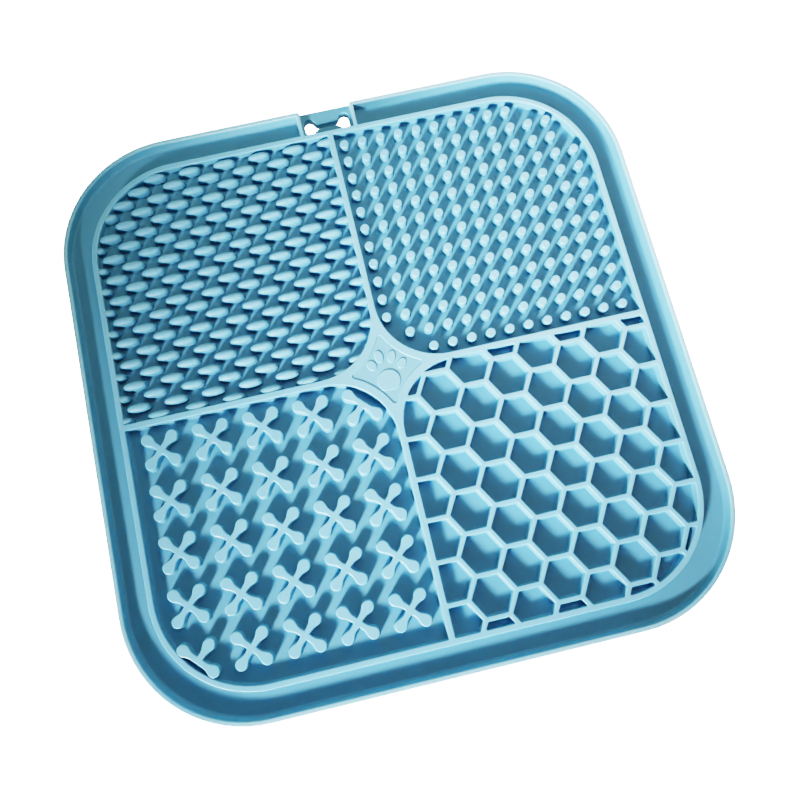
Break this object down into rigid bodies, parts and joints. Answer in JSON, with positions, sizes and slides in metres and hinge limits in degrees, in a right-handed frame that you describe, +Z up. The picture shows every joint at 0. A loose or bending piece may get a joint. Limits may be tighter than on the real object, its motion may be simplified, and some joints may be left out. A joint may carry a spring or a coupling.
{
  "type": "lick mat",
  "caption": "Square silicone lick mat with four textured food trays, a paw-print centre, a spill gutter and a hanging hole.",
  "frame": {"origin": "middle of the mat's underside, on the surface it lies on", "axes": "+Z up out of the trays, +Y towards the side with the hanging hole, +X towards the tray of round pegs"},
  "size_m": [0.2, 0.2, 0.0055],
  "materials": {
    "mat": "satin",
    "hang_strip": "satin"
  },
  "bodies": {
    "root": {"mat": "mat", "hang_strip": "hang_strip"}
  },
  "joints": []
}
